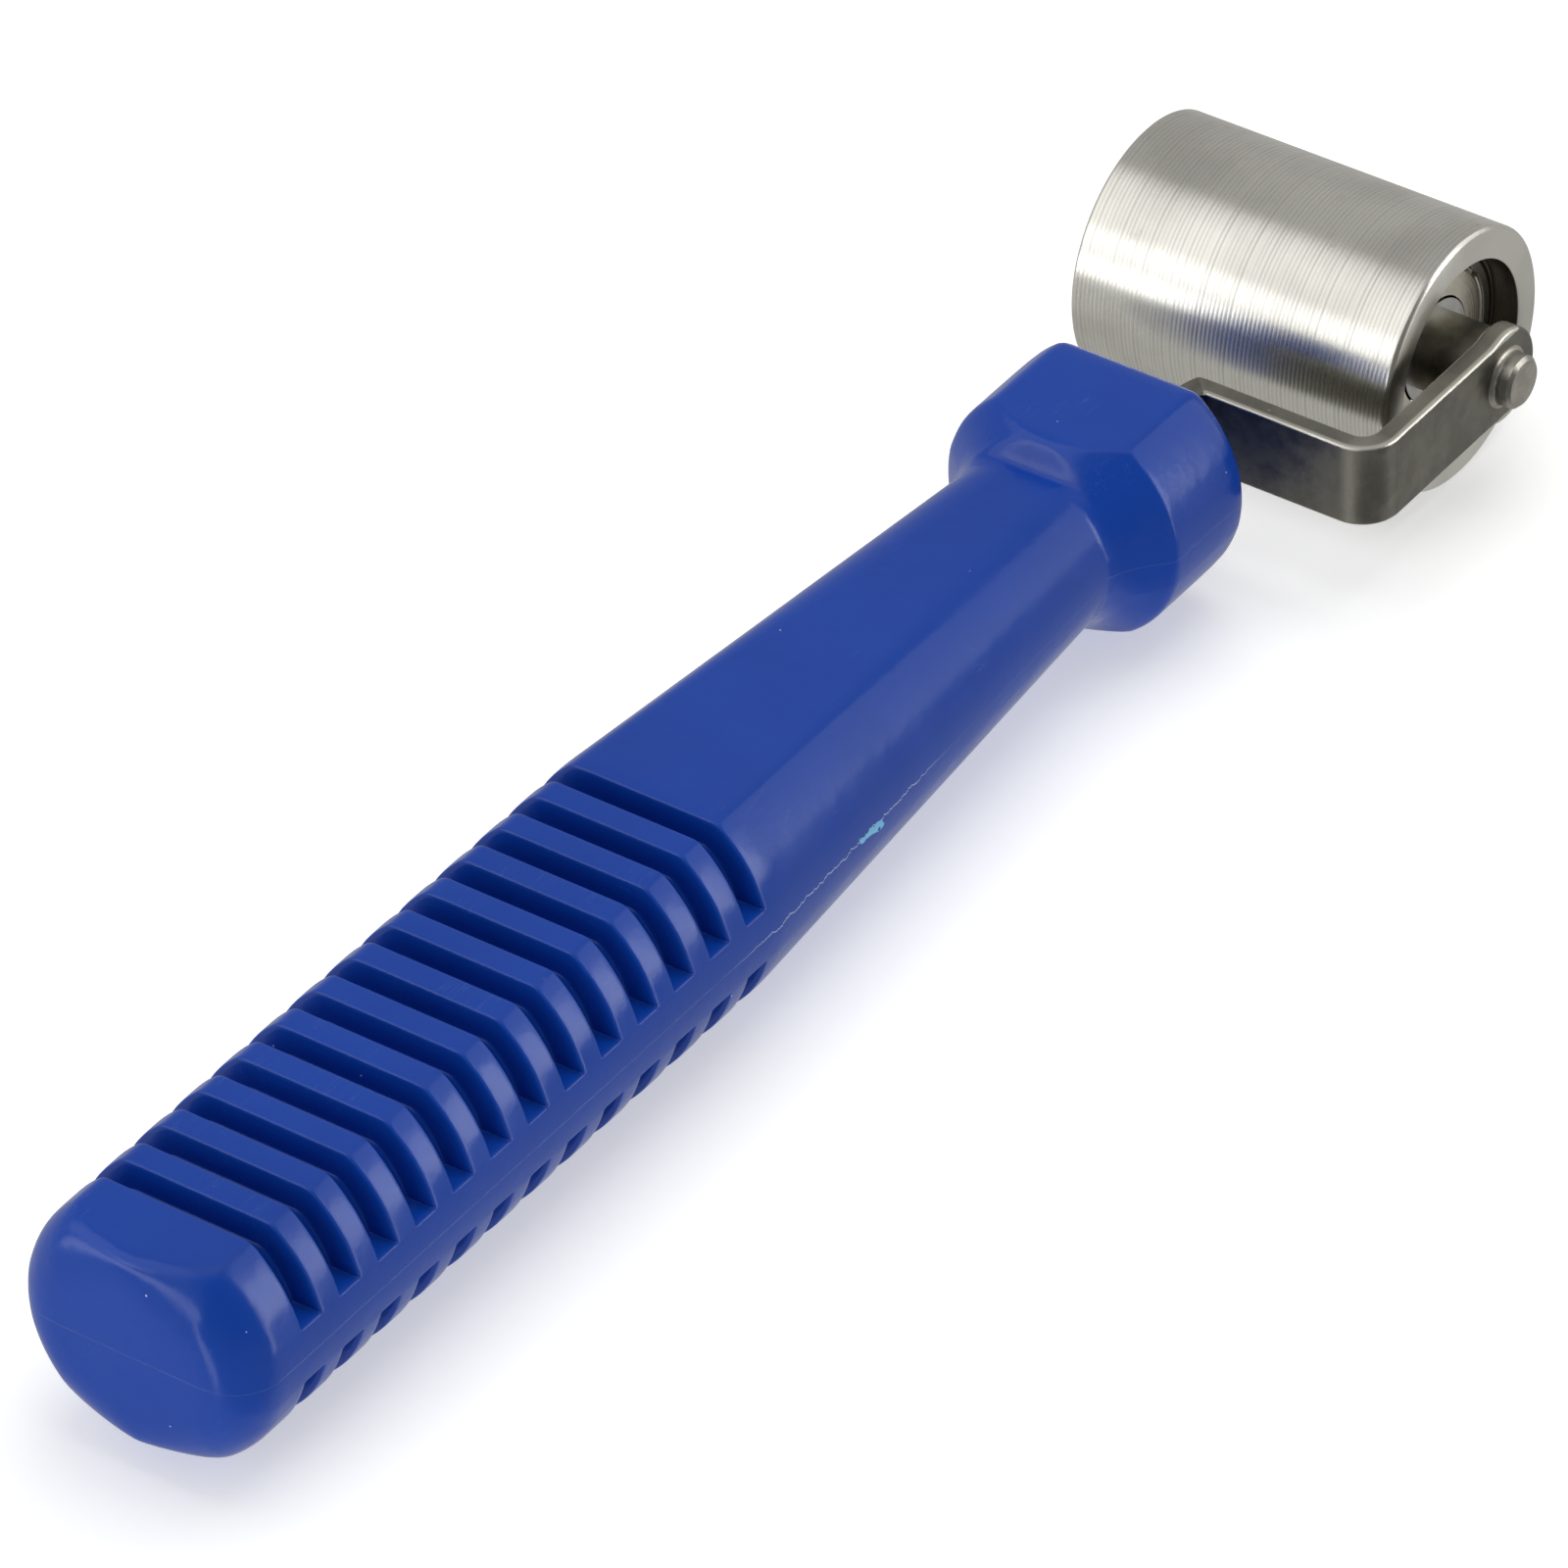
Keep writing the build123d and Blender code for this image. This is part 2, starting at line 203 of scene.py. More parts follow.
def section_size(u):
    """The round side's radius, the flat's height and the corner's softness at u."""
    r = bar(u, BUTT_ROUND, GRIP_R, NECK_R, NECK_END, COLLAR_R, COLLAR_START, FLARE_HOLLOW)
    flat = bar(
        u, BUTT_FLAT_ROUND, FLAT_Z, NECK_FLAT_Z, NECK_FLAT_END, FLAT_Z, COLLAR_FLAT_START,
        FLAT_FLARE_HOLLOW,
    )
    near_butt = max(0, (BUTT_ROUND - u) / BUTT_ROUND) ** 3
    in_neck = ease(min(1, max(0, (u - GRIP_END - 10) / 40))) * ease(min(1, max(0, (FLARE_TOP - u) / 6)))
    soft = CORNER_R + near_butt * BUTT_CORNER_R + in_neck * (NECK_CORNER_R - CORNER_R)
    return r, min(flat, MOST_FLAT * r), soft


def section_point(row, r, flat, soft):
    """A point of a quarter section: rows run 0-1 up the side, 1-2 round the corner, 2-3 to the top."""
    corner = asin(flat / r)
    arc_end = max(0.45 * corner, corner - soft / r)
    edge_y = r * cos(corner)
    flat_start = edge_y - min(soft, 0.9 * edge_y)
    if row <= 1:
        return r * cos(row * arc_end), r * sin(row * arc_end)
    if row >= 2:
        return (3 - row) * flat_start, flat
    t = row - 1
    near, middle, far = (1 - t) ** 2, 2 * t * (1 - t), t * t
    y = near * r * cos(arc_end) + middle * edge_y + far * flat_start
    z = near * r * sin(arc_end) + (middle + far) * flat
    return y, z


def ledge_row():
    """The row at the height of the ledge at the foot of each groove."""
    return asin(LEDGE_Z / GRIP_R) / (asin(FLAT_Z / GRIP_R) - CORNER_R / GRIP_R)


def rows_of_quarter():
    """(row, share of the groove's depth) for each lengthwise line, from the side to the top."""
    ledge = ledge_row()
    low = [(0, 0), (0.45 * ledge, 0), (0.8 * ledge, 0), (0.95 * ledge, 0), (ledge, 0)]
    foot = [(1.012 * ledge, 0.08), (1.024 * ledge, 0.92), (1.036 * ledge, 1), (1.15 * ledge, 1)]
    arc = [(row, 1) for row in (0.45, 0.6, 0.75, 0.9, 1)]
    corner = [(row, 1) for row in (1.25, 1.5, 1.75, 2)]
    flat = [(row, 1) for row in (2.1, 2.35, 2.65, 3)]
    return low + foot + arc + corner + flat


def floor_point(row):
    """The point of the groove's floor that matches a row of the grip's outside."""
    ledge = ledge_row()
    r, flat = GRIP_R - GROOVE_DEPTH, FLAT_Z - GROOVE_DEPTH
    foot = asin(LEDGE_Z / r) / (asin(flat / r) - CORNER_R / r)
    if row <= 1:
        row = foot + (row - ledge) / (1 - ledge) * (1 - foot)
    return section_point(row, r, flat, CORNER_R)


def quarter(u, depth):
    """The points of a quarter section, sunk by this share of a groove's depth."""
    size = section_size(u)
    points = []
    for row, share in rows_of_quarter():
        y, z = section_point(row, *size)
        sunk = share * depth
        if sunk:
            floor_y, floor_z = floor_point(row)
            y += sunk * (floor_y - y)
            z += sunk * (floor_z - z)
        points.append((y, z))
    return points


def whole_loop(u, quarter_points):
    """Mirrors a quarter section into a closed loop at u along the handle."""
    top = quarter_points + [(-y, z) for y, z in reversed(quarter_points[:-1])]
    loop = top + [(y, -z) for y, z in reversed(top[1:-1])]
    return [Vector((BUTT_X + u * MM, AXIS_Y + y * MM, AXIS_Z + z * MM)) for y, z in loop]


def scaled_loop(u, at, scale):
    """The section at a place, shrunk towards the axis and set at u: for the closed ends."""
    return whole_loop(u, [(y * scale, z * scale) for y, z in quarter(at, 0)])


def slot_loop(u, grown=0.0):
    """The edge of the tang's slot, with its points in line with the section's rows."""
    half_y, half_z = SLOT_HALF_Y + grown, SLOT_HALF_Z + grown
    points = []
    for row, _ in rows_of_quarter():
        angle = row * pi / 6
        reach = min(half_y / max(cos(angle), 0.001), half_z / max(sin(angle), 0.001))
        points.append((reach * cos(angle), reach * sin(angle)))
    return whole_loop(u, points)


def stations():
    """(u, share of the groove's depth) for each loop along the handle, butt to collar."""
    turn = [radians(a) for a in (12, 24, 35, 45, 54, 62, 69, 76, 83, 90)]
    loops = [(BUTT_ROUND * (1 - cos(a)), 0) for a in turn] + [(BUTT_ROUND + 1.4, 0)]
    for index in range(GROOVE_COUNT):
        start = GROOVE_START + GROOVE_PITCH * index
        half = [
            (-1.0, 0), (-0.3, 0), (-0.04, 0.012), (GROOVE_LIP, 0.06),
            (GROOVE_DRAFT, 0.93), (GROOVE_DRAFT + 0.03, 1), (0.5, 1),
        ]
        loops += [(start + step, depth) for step, depth in half]
        loops += [(start + GROOVE_WIDTH - step, depth) for step, depth in reversed(half[1:])]
    neck = [GRIP_END + step for step in (-0.4, 0.4, 2, 8, 18, 28, 38, 48, 57, 62)]
    foot = (-1.2, -0.25, 0.1, 0.4, 1.0, 1.35, 1.6, 1.85)
    slope = (2.3, 2.8, 3.2, 3.5, 4.2, 5.0)
    crest = (5.6, 6.4, 7.15, 8.2, 11)
    rise = [NECK_END + step for step in foot + slope + crest]
    edge_from = HANDLE_LENGTH - COLLAR_EDGE_R
    edge = [edge_from + COLLAR_EDGE_R * sin(radians(a)) for a in (0, 22, 42, 60, 76, 90)]
    return loops + [(u, 0) for u in neck + rise + edge]


def handle():
    """The whole moulding: rounded butt, grooved grip, tapering neck and collar."""
    loops = [scaled_loop(0, 0, scale) for scale in (0.02, 0.3, 0.6, 0.85, 0.97)]
    loops += [whole_loop(u, quarter(u, depth)) for u, depth in stations()]
    end = HANDLE_LENGTH
    loops += [scaled_loop(end, end, scale) for scale in (0.93, 0.7)]
    loops += [slot_loop(end, 0.4), slot_loop(end, 0.05), slot_loop(end - 0.08)]
    loops += [slot_loop(end - 0.4), slot_loop(end - SLOT_DEPTH)]
    mesh = mesh_of_loops("handle_skin", loops)
    work = bmesh.new()
    work.from_mesh(mesh)
    bmesh.ops.holes_fill(work, edges=[edge for edge in work.edges if edge.is_boundary], sides=0)
    work.to_mesh(mesh)
    work.free()
    outward(mesh)
    mesh.shade_smooth()
    obj = add_object("handle_skin", mesh)
    smooth = obj.modifiers.new("smooth", "SUBSURF")
    smooth.levels = 1
    smooth.render_levels = 1
    obj.data.materials.append(blue_plastic())
    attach(obj, "frame")
    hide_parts("handle")


# ---- The roller shell ----

def feed_mark(y):
    """How far the turned face dips at y: one shallow turn of the tool each feed."""
    turn = y / FEED
    swing = 0.75 + 0.25 * sin(turn * 0.37) * cos(turn * 0.113)
    return FEED_DEPTH * swing * (0.5 - 0.5 * cos(2 * pi * turn))


def shell_outline():
    """(distance from the axle, distance along it) round the shell's section."""
    face = ROLLER_HALF
    edge = face - ROLLER_EDGE
    steps = round(2 * edge / FEED * FEED_STEPS)
    turned = [edge - 2 * edge * k / steps for k in range(steps + 1)]
    outside = [(ROLLER_R - feed_mark(edge - y), y) for y in turned]
    end = [
        (SHELL_BORE_R, face - SEAT_DEPTH),
        (SEAT_R, face - SEAT_DEPTH),
        (SEAT_R, face - MOUTH_DEPTH),
        (SEAT_R + 0.05, face - MOUTH_DEPTH),
        (MOUTH_R - 0.05, face - MOUTH_DEPTH),
        (MOUTH_R, face - MOUTH_DEPTH + 0.05),
        (MOUTH_R, face - MOUTH_EDGE - 0.15),
        (MOUTH_R + 0.08, face - 0.08),
        (MOUTH_R + MOUTH_EDGE, face),
        (ROLLER_R - ROLLER_EDGE - 0.1, face),
        (ROLLER_R - ROLLER_EDGE, face - 0.03),
        (ROLLER_R - 0.08, edge + 0.12),
    ]
    far = [(r, -y) for r, y in reversed(end)]
    return end + outside + far


def roller_shell():
    """The turned tube, with the feed marks of its turning as real shape."""
    outline = shell_outline()
    loops = []
    for r, y in outline:
        turn = [2 * pi * k / ROLLER_SIDES for k in range(ROLLER_SIDES)]
        loops.append([
            Vector((AXLE_X + r * MM * cos(a), AXIS_Y + y * MM, AXIS_Z + r * MM * sin(a))) for a in turn
        ])
    mesh = mesh_of_loops("roller_shell_turned", loops, along_closed=True)
    outward(mesh)
    mesh.shade_smooth()
    mesh.set_sharp_from_angle(angle=radians(32))
    obj = add_object("roller_shell_turned", mesh)
    obj.data.materials.append(turned_steel())
    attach(obj, "roller")
    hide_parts("roller_shell")


# ---- Materials ----

def add(tree, kind, inputs=None, **settings):
    """A shader node. Each input is a plain value or another node's output."""
    node = tree.nodes.new(kind)
    for key, value in settings.items():
        setattr(node, key, value)
    for key, value in (inputs or {}).items():
        if isinstance(value, bpy.types.NodeSocket):
            tree.links.new(value, node.inputs[key])
        else:
            node.inputs[key].default_value = value
    return node


def new_material(name, **values):
    """A Principled material with these plain values on its own sockets."""
    material = bpy.data.materials.new(name)
    material.use_nodes = True
    tree = material.node_tree
    shader = tree.nodes["Principled BSDF"]
    for key, value in values.items():
        shader.inputs[key.replace("_", " ")].default_value = value
    return material, tree, shader


def place(tree, scale=(1, 1, 1), turn=(0, 0, 0)):
    """Coordinates fixed to the piece, in millimetres, stretched by scale."""
    coords = add(tree, "ShaderNodeTexCoord").outputs["Object"]
    size = [1000 * s for s in scale]
    return add(tree, "ShaderNodeMapping", {"Vector": coords, "Scale": size, "Rotation": turn}).outputs[0]


def noise(tree, vector, scale, detail=3.0, rough=0.55):
    inputs = {"Vector": vector, "Scale": scale, "Detail": detail, "Roughness": rough}
    return add(tree, "ShaderNodeTexNoise", inputs).outputs["Fac"]


def spread(tree, value, low, high, to_low=0.0, to_high=1.0, smooth=True):
    """Maps low..high onto to_low..to_high, held at the ends."""
    kind = "SMOOTHSTEP" if smooth else "LINEAR"
    inputs = {"Value": value, "From Min": low, "From Max": high, "To Min": to_low, "To Max": to_high}
    return add(tree, "ShaderNodeMapRange", inputs, interpolation_type=kind).outputs["Result"]


def maths(tree, operation, a, b=0.0):
    node = add(tree, "ShaderNodeMath", {0: a, 1: b}, operation=operation)
    return node.outputs[0]


def blend(tree, share, first, second):
    """A mix of two colours."""
    node = add(tree, "ShaderNodeMix", {0: share, 6: first, 7: second}, data_type="RGBA")
    return node.outputs[2]


def bump(tree, height, distance, normal=None):
    """A bump of this many millimetres for a height from 0 to 1."""
    inputs = {"Height": height, "Distance": distance * MM, "Strength": 1.0}
    if normal is not None:
        inputs["Normal"] = normal
    return add(tree, "ShaderNodeBump", inputs).outputs["Normal"]


def axis_parts(tree, vector):
    parts = add(tree, "ShaderNodeSeparateXYZ", {0: vector})
    return parts.outputs[0], parts.outputs[1], parts.outputs[2]


def from_axle(tree, vector):
    """The distance of a point from the axle's line, in millimetres."""
    x, y, z = axis_parts(tree, vector)
    off_x = maths(tree, "SUBTRACT", x, AXLE_X / MM)
    off_z = maths(tree, "SUBTRACT", z, AXIS_Z / MM)
    span = maths(tree, "ADD", maths(tree, "MULTIPLY", off_x, off_x), maths(tree, "MULTIPLY", off_z, off_z))
    return maths(tree, "SQRT", span)


def rgba(r, g, b):
    return (r, g, b, 1.0)


def specks(tree, vector, scale, size, kept):
    """Small dots, one in a few of the cells of a Voronoi pattern."""
    cells = add(tree, "ShaderNodeTexVoronoi", {"Vector": vector, "Scale": scale})
    dot = spread(tree, cells.outputs["Distance"], size, size * 0.6)
    pick = axis_parts(tree, cells.outputs["Color"])[0]
    return maths(tree, "MULTIPLY", dot, maths(tree, "GREATER_THAN", pick, 1 - kept))


def scratches(tree, turn, scale, width):
    """Thin straight marks in one direction, broken up along their length."""
    lines = noise(tree, place(tree, (0.05, 1, 1), turn), scale, 2.0)
    line = spread(tree, maths(tree, "ABSOLUTE", maths(tree, "SUBTRACT", lines, 0.5)), width, 0)
    gaps = spread(tree, noise(tree, place(tree), 0.09, 2.0), 0.58, 0.66)
    return maths(tree, "MULTIPLY", line, gaps)


PLASTIC = rgba(0.004, 0.055, 0.390)
PLASTIC_DEEP = rgba(0.003, 0.049, 0.355)
PLASTIC_SCUFF = rgba(0.10, 0.17, 0.47)
PLASTIC_CHIP = rgba(0.17, 0.52, 0.80)
DUST = rgba(0.50, 0.58, 0.80)


def chip_mask(tree):
    """The one scuffed chip beside the parting line."""
    x, y, z = axis_parts(tree, place(tree))
    warp = spread(tree, noise(tree, place(tree), 0.9, 3.0), 0.3, 0.7, -1.0, 1.0)
    along = maths(tree, "DIVIDE", maths(tree, "SUBTRACT", x, BUTT_X / MM + 105.65), 2.6)
    height = maths(tree, "SUBTRACT", z, AXIS_Z / MM - 0.35)
    slant = maths(tree, "ADD", height, maths(tree, "MULTIPLY", along, 0.35))
    across = maths(tree, "DIVIDE", maths(tree, "ADD", slant, maths(tree, "MULTIPLY", warp, 0.3)), 0.6)
    far = maths(tree, "ADD", maths(tree, "MULTIPLY", along, along), maths(tree, "MULTIPLY", across, across))
    near_side = maths(tree, "LESS_THAN", y, AXIS_Y / MM)
    return maths(tree, "MULTIPLY", spread(tree, far, 1.0, 0.75), near_side)


def parting_mask(tree):
    """The line where the two halves of the mould met, wandering where it has flashed."""
    x, _, z = axis_parts(tree, place(tree))
    wander = spread(tree, noise(tree, place(tree, (1, 0, 0)), 0.55, 4.0, 0.7), 0.3, 0.7, -1.0, 1.0)
    start = BUTT_X / MM + 78
    begun = spread(tree, x, start, start + 12)
    not_over = spread(tree, x, start + 44, start + 34)
    flashed = maths(tree, "MULTIPLY", begun, not_over)
    offset = maths(tree, "MULTIPLY", wander, maths(tree, "MULTIPLY", flashed, 0.35))
    height = maths(tree, "SUBTRACT", maths(tree, "SUBTRACT", z, AXIS_Z / MM), offset)
    line = spread(tree, maths(tree, "ABSOLUTE", height), 0.11, 0.04)
    return line, maths(tree, "MULTIPLY", line, flashed)


def blue_plastic():
    material, tree, shader = new_material("blue_plastic", Roughness=0.2, IOR=1.38)
    whole = place(tree)
    cloud = spread(tree, noise(tree, whole, 0.035, 3.0), 0.35, 0.65)
    colour = blend(tree, cloud, PLASTIC_DEEP, PLASTIC)
    line, flash = parting_mask(tree)
    colour = blend(tree, maths(tree, "MULTIPLY", line, 0.12), colour, PLASTIC_SCUFF)
    colour = blend(tree, maths(tree, "MULTIPLY", flash, 0.75), colour, DUST)
    colour = blend(tree, chip_mask(tree), colour, PLASTIC_CHIP)
    dots = specks(tree, whole, 0.3, 0.045, 0.22)
    colour = blend(tree, dots, colour, DUST)
    marks = maths(
        tree, "MAXIMUM", scratches(tree, (0.2, 0.4, 0.5), 0.9, 0.006),
        scratches(tree, (0.5, 0.1, 2.1), 0.8, 0.006),
    )
    colour = blend(tree, maths(tree, "MULTIPLY", marks, 0.25), colour, PLASTIC_SCUFF)
    tree.links.new(colour, shader.inputs["Base Color"])
    patch = noise(tree, whole, 0.12, 4.0)
    tree.links.new(spread(tree, patch, 0.3, 0.7, 0.18, 0.26), shader.inputs["Roughness"])
    skin = bump(tree, noise(tree, whole, 0.45, 2.0), 0.05)
    grain = bump(tree, noise(tree, whole, 4.0, 3.0), 0.006, skin)
    ridge = bump(tree, maths(tree, "MAXIMUM", line, dots), 0.03, grain)
    tree.links.new(ridge, shader.inputs["Normal"])
    return material


def turned_steel():
    """Bright turned steel: fine rings round the axle, each ring darkened in colour as painted shade, a dull
    film, a few faint stains, and painted shade darkening the inside of the mouth and bore.
    """
    material, tree, shader = new_material(
        "turned_steel", Metallic=1.0, Roughness=0.33, Anisotropic=0.75, Anisotropic_Rotation=0.25
    )
    whole = place(tree)
    y = axis_parts(tree, whole)[1]
    from_end = maths(tree, "SUBTRACT", (AXIS_Y / MM) + ROLLER_HALF - ROLLER_EDGE, y)
    turn = maths(tree, "MULTIPLY", from_end, 2 * pi / FEED)
    ring = spread(tree, maths(tree, "COSINE", turn), -1, 1, smooth=False)
    rings = noise(tree, place(tree, (0, 1, 0)), 2.2, 4.0, 0.8)
    uneven = spread(tree, rings, 0.3, 0.7)
    line = maths(tree, "MULTIPLY", ring, uneven)
    film = spread(tree, noise(tree, whole, 0.07, 4.0), 0.35, 0.7)
    stain = spread(tree, noise(tree, whole, 0.16, 5.0, 0.7), 0.60, 0.72)
    colour = blend(tree, film, rgba(0.75, 0.735, 0.675), rgba(0.62, 0.605, 0.555))
    colour = blend(tree, maths(tree, "MULTIPLY", stain, 0.5), colour, rgba(0.44, 0.41, 0.31))
    # Painted shade: each feed ring's line is darkened in colour to stand in for the shading of the turning
    # marks; the same line also makes the steel rougher
    colour = blend(tree, maths(tree, "MULTIPLY", line, 0.45), colour, rgba(0.28, 0.27, 0.245))
    # Painted shade: the colour inside the mouth, seat and bore is made dark, standing in for the shade
    # inside the roller's recess
    inside = spread(tree, from_axle(tree, whole), MOUTH_R + 0.15, MOUTH_R + 0.05)
    painted_mouth_shade = blend(tree, film, rgba(0.19, 0.165, 0.135), rgba(0.11, 0.095, 0.08))
    colour = blend(tree, inside, colour, painted_mouth_shade)
    tree.links.new(colour, shader.inputs["Base Color"])
    dull = maths(tree, "ADD", spread(tree, line, 0, 1, 0.27, 0.38), maths(tree, "MULTIPLY", stain, 0.1))
    tree.links.new(dull, shader.inputs["Roughness"])
    fine = bump(tree, rings, 0.008)
    tree.links.new(bump(tree, noise(tree, whole, 2.2, 3.0), 0.002, fine), shader.inputs["Normal"])
    tangent = add(tree, "ShaderNodeTangent", direction_type="RADIAL", axis="Y").outputs[0]
    tree.links.new(tangent, shader.inputs["Tangent"])
    return material


def bracket_steel():
    """Dull grey-brown steel strip, grainy, with a painted sheen lightening the bend and its rims painted
    bright: edge wear together with a painted highlight, full along its outer edges.
    """
    material, tree, shader = new_material("bracket_steel", Metallic=1.0, Roughness=0.42)
    whole = place(tree)
    mottle = spread(tree, noise(tree, whole, 0.25, 5.0, 0.65), 0.35, 0.65)
    colour = blend(tree, mottle, rgba(0.155, 0.150, 0.128), rgba(0.215, 0.208, 0.176))
    x, y, z = axis_parts(tree, whole)
    from_middle = maths(tree, "ABSOLUTE", maths(tree, "SUBTRACT", z, AXIS_Z / MM))
    ragged = maths(tree, "MULTIPLY", noise(tree, whole, 1.2, 4.0), 0.3)
    rim_wear_and_highlight = spread(tree, maths(tree, "ADD", from_middle, ragged), 4.83, 4.98)
    in_x = maths(tree, "MAXIMUM", maths(tree, "SUBTRACT", BRACKET_BACK / MM + BEND_R, x))
    in_y = maths(tree, "MAXIMUM", maths(tree, "SUBTRACT", BRACKET_SIDE / MM + BEND_R, y))
    span = maths(tree, "ADD", maths(tree, "MULTIPLY", in_x, in_x), maths(tree, "MULTIPLY", in_y, in_y))
    outer = spread(tree, maths(tree, "SQRT", span), BEND_R - 0.75, BEND_R - 0.4, 0.12, 1)
    # Painted sheen: the colour on the bend is lightened, broken up by the mottle, standing in for the
    # brighter reflection the curved bend catches
    bend = spread(tree, maths(tree, "MINIMUM", in_x, in_y), 0, 1.6)
    painted_bend_sheen = maths(tree, "MULTIPLY", bend, spread(tree, mottle, 0, 1, 0.6, 0.9))
    colour = blend(tree, painted_bend_sheen, colour, rgba(0.34, 0.33, 0.285))
    # Painted highlight with edge wear: the rims are lightened almost to bright steel, fully along the outer
    # side of the U (the crossbar's rear edge and the -y arm's outer face) and only faintly elsewhere
    edge = maths(tree, "MULTIPLY", rim_wear_and_highlight, outer)
    colour = blend(tree, maths(tree, "MULTIPLY", edge, 0.9), colour, rgba(0.66, 0.64, 0.57))
    nick = specks(tree, whole, 0.28, 0.05, 0.25)
    colour = blend(tree, nick, colour, rgba(0.55, 0.50, 0.43))
    tree.links.new(colour, shader.inputs["Base Color"])
    tree.links.new(spread(tree, mottle, 0, 1, 0.36, 0.47), shader.inputs["Roughness"])
    pits = bump(tree, noise(tree, whole, 1.1, 4.0), 0.035)
    grain = bump(tree, noise(tree, whole, 5.0, 3.0), 0.008, pits)
    tree.links.new(grain, shader.inputs["Normal"])
    return material


def axle_steel():
    """Dark, slightly oily bar, with turning marks and small rubbed spots."""
    material, tree, shader = new_material("axle_steel", Metallic=1.0, Roughness=0.34)
    whole = place(tree)
    cloud = spread(tree, noise(tree, whole, 0.45, 4.0), 0.35, 0.65)
    colour = blend(tree, cloud, rgba(0.27, 0.26, 0.215), rgba(0.38, 0.365, 0.31))
    rub = spread(tree, noise(tree, whole, 1.1, 5.0, 0.7), 0.62, 0.70)
    colour = blend(tree, maths(tree, "MULTIPLY", rub, 0.6), colour, rgba(0.50, 0.47, 0.40))
    tree.links.new(colour, shader.inputs["Base Color"])
    rings = noise(tree, place(tree, (0, 1, 0)), 5.0, 3.0, 0.7)
    tree.links.new(spread(tree, rings, 0.3, 0.7, 0.30, 0.40), shader.inputs["Roughness"])
    marks = bump(tree, rings, 0.008)
    tree.links.new(bump(tree, noise(tree, whole, 1.6, 3.0), 0.02, marks), shader.inputs["Normal"])
    return material


def set_over_steel():
    """The axle's hammered ends: paler than its body, with soft dents."""
    material, tree, shader = new_material("set_over_steel", Metallic=1.0, Roughness=0.36)
    whole = place(tree)
    cloud = spread(tree, noise(tree, whole, 0.5, 4.0), 0.35, 0.65)
    colour = blend(tree, cloud, rgba(0.36, 0.345, 0.30), rgba(0.46, 0.44, 0.39))
    tree.links.new(colour, shader.inputs["Base Color"])
    dents = bump(tree, noise(tree, whole, 0.7, 2.0), 0.06)
    tree.links.new(bump(tree, noise(tree, whole, 4.0, 3.0), 0.008, dents), shader.inputs["Normal"])
    return material


def ground_steel(name, colour, roughness, ring_scale):
    """Bearing steel, ground round the axle. Used for rings, shields, wires and cages."""
    material, tree, shader = new_material(name, Metallic=1.0, Roughness=roughness)
    whole = place(tree)
    cloud = spread(tree, noise(tree, whole, 0.4, 4.0), 0.35, 0.65)
    darker = rgba(*[0.86 * c for c in colour])
    tree.links.new(blend(tree, cloud, darker, rgba(*colour)), shader.inputs["Base Color"])
    radius = from_axle(tree, whole)
    rings = add(tree, "ShaderNodeTexNoise", {"W": radius, "Scale": ring_scale}, noise_dimensions="1D")
    rough = spread(tree, rings.outputs["Fac"], 0.3, 0.7, roughness - 0.04, roughness + 0.06)
    tree.links.new(rough, shader.inputs["Roughness"])
    tree.links.new(bump(tree, rings.outputs["Fac"], 0.004), shader.inputs["Normal"])
    return material


def ball_steel():
    material, tree, shader = new_material("ball_steel", Metallic=1.0, Roughness=0.08)
    film = spread(tree, noise(tree, place(tree), 0.8, 3.0), 0.35, 0.65)
    colour = blend(tree, film, rgba(0.66, 0.65, 0.63), rgba(0.74, 0.73, 0.71))
    tree.links.new(colour, shader.inputs["Base Color"])
    tree.links.new(spread(tree, film, 0, 1, 0.06, 0.12), shader.inputs["Roughness"])
    return material


def finish_nodes():
    """Gives every CAD node that stays its material. A later word wins: "bearing" holds "ring"."""
    rings = ground_steel("bearing_steel", (0.56, 0.55, 0.52), 0.26, 9.0)
    shields = ground_steel("shield_steel", (0.74, 0.68, 0.57), 0.30, 7.0)
    wires = ground_steel("wire_steel", (0.66, 0.64, 0.59), 0.22, 3.0)
    cages = ground_steel("cage_steel", (0.50, 0.48, 0.43), 0.35, 5.0)
    bar_steel = axle_steel()
    by_word = {
        "bracket": bracket_steel(),
        "axle_pin": set_over_steel(),
        "spacer": bar_steel,
        "sleeve": bar_steel,
        "ring": rings,
        "balls": ball_steel(),
        "ribbon": cages,
        "shield": shields,
        "wire": wires,
    }
    for name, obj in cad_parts.items():
        for word, material in by_word.items():
            if word in name:
                obj.data.materials.clear()
                obj.data.materials.append(material)


# ---- Floor, lights and camera ----

def floor():
    mesh = bpy.data.meshes.new("floor")
    half = FLOOR_HALF
    corners = [(-half, -half, 0), (half, -half, 0), (half, half, 0), (-half, half, 0)]
    mesh.from_pydata(corners, [], [(0, 1, 2, 3)])
    obj = add_object("floor", mesh)
    material, tree, shader = new_material("floor_paper", Roughness=0.9, Emission_Strength=FLOOR_GLOW)
    pale = spread(tree, noise(tree, place(tree), 0.004, 2.0), 0.3, 0.7)
    colour = blend(tree, pale, rgba(0.76, 0.76, 0.755), rgba(0.79, 0.79, 0.785))
    tree.links.new(colour, shader.inputs["Base Color"])
    tree.links.new(colour, shader.inputs["Emission Color"])
    obj.data.materials.append(material)
    obj.visible_glossy = False


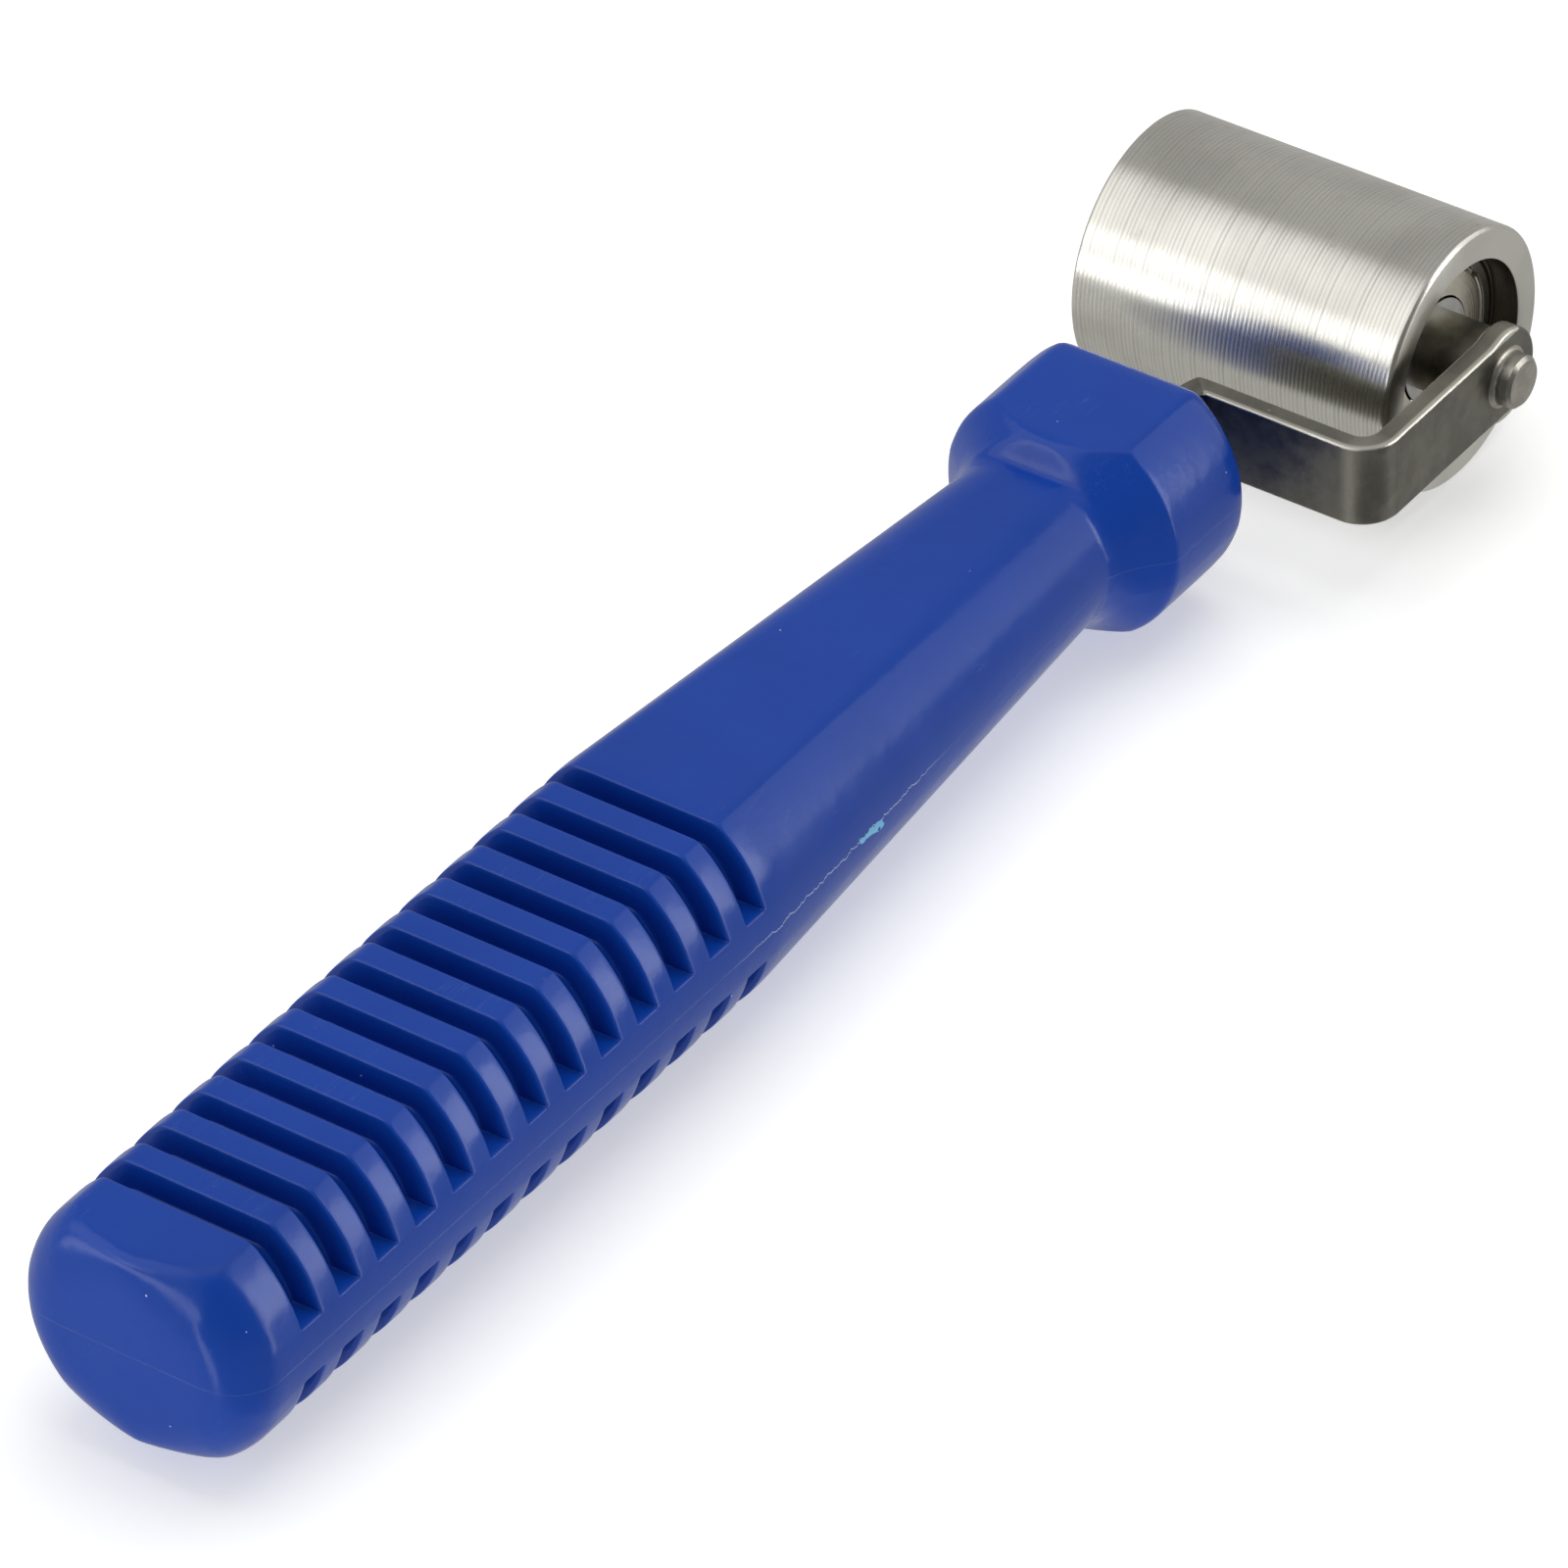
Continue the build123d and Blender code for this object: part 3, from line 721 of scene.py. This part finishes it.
def panel(name, direction, width, height, radiance, lit=True, mirrored=True):
    """A soft light panel that faces the tool from this direction and doesn't show itself."""
    light = bpy.data.lights.new(name, "AREA")
    light.shape = "RECTANGLE"
    light.size = width
    light.size_y = height
    light.energy = radiance * pi * width * height
    obj = bpy.data.objects.new(name, light)
    bpy.context.scene.collection.objects.link(obj)
    toward = Vector(direction).normalized()
    obj.location = Vector((0, 0, AXIS_Z)) + toward * PANEL_DISTANCE
    obj.rotation_mode = "QUATERNION"
    obj.rotation_quaternion = toward.to_track_quat("Z", "Y")
    obj.visible_camera = False
    obj.visible_diffuse = lit
    obj.visible_glossy = mirrored


def surroundings():
    """An even grey room, a little paler below the table and dark on the camera's side."""
    world = bpy.data.worlds.new("room")
    bpy.context.scene.world = world
    world.use_nodes = True
    tree = world.node_tree
    background = tree.nodes["Background"]
    x, y, z = axis_parts(tree, add(tree, "ShaderNodeTexCoord").outputs["Generated"])
    walls = blend(tree, spread(tree, z, -0.3, 0.1), rgba(0.50, 0.50, 0.49), rgba(0.46, 0.46, 0.455))
    toward = maths(tree, "ADD", maths(tree, "MULTIPLY", x, -0.5), maths(tree, "MULTIPLY", y, -0.87))
    walls = blend(tree, spread(tree, toward, 0.35, 0.7), walls, rgba(0.17, 0.17, 0.17))
    tree.links.new(walls, background.inputs["Color"])


def lights():
    """Soft boxes that only the gloss sees, brighter low down, two thin strips for the bright lines
    on the rounds, and two boxes that only light the tool."""
    panel("key_high", (-0.50, 0.49, 0.71), 1.6, 1.75, 0.9, lit=False)
    panel("key_low", (-0.90, 0.42, 0.09), 1.9, 0.40, 2.5, lit=False)
    panel("key_core", (-0.78, 0.44, 0.44), 0.7, 0.4, 1.5, lit=False)
    panel("side_wide", (0.72, -0.55, 0.43), 1.0, 1.45, 0.95, lit=False)
    panel("side_low", (0.55, -0.81, 0.21), 0.4, 0.8, 3.8, lit=False)
    panel("side_edge", (0.40, -0.90, 0.20), 0.25, 1.8, 2.8, lit=False)
    panel("butt_edge", (-0.93, 0.07, -0.33), 0.25, 0.9, 1.8, lit=False)
    panel("over", (0.2, 0.0, 1.0), 1.3, 1.3, 2.1, mirrored=False)
    panel("front", (-0.95, 0.1, 0.3), 1.4, 1.2, 0.9, mirrored=False)


def camera():
    data = bpy.data.cameras.new("camera")
    data.lens = LENS
    data.sensor_width = SENSOR_WIDTH
    data.clip_start = 0.05
    data.clip_end = 20
    obj = bpy.data.objects.new("camera", data)
    bpy.context.scene.collection.objects.link(obj)
    level = cos(CAMERA_ELEVATION)
    back = Vector((sin(CAMERA_AZIMUTH) * level, -cos(CAMERA_AZIMUTH) * level, sin(CAMERA_ELEVATION)))
    aim = back.to_track_quat("Z", "Y").to_matrix()
    roll = Matrix.Rotation(CAMERA_ROLL, 3, "Z")
    obj.matrix_world = Matrix.Translation(LOOK_AT + back * CAMERA_DISTANCE) @ (aim @ roll).to_4x4()
    bpy.context.scene.camera = obj


bpy.context.scene.view_settings.view_transform = "Standard"
finish_nodes()
handle()
roller_shell()
floor()
surroundings()
lights()
camera()
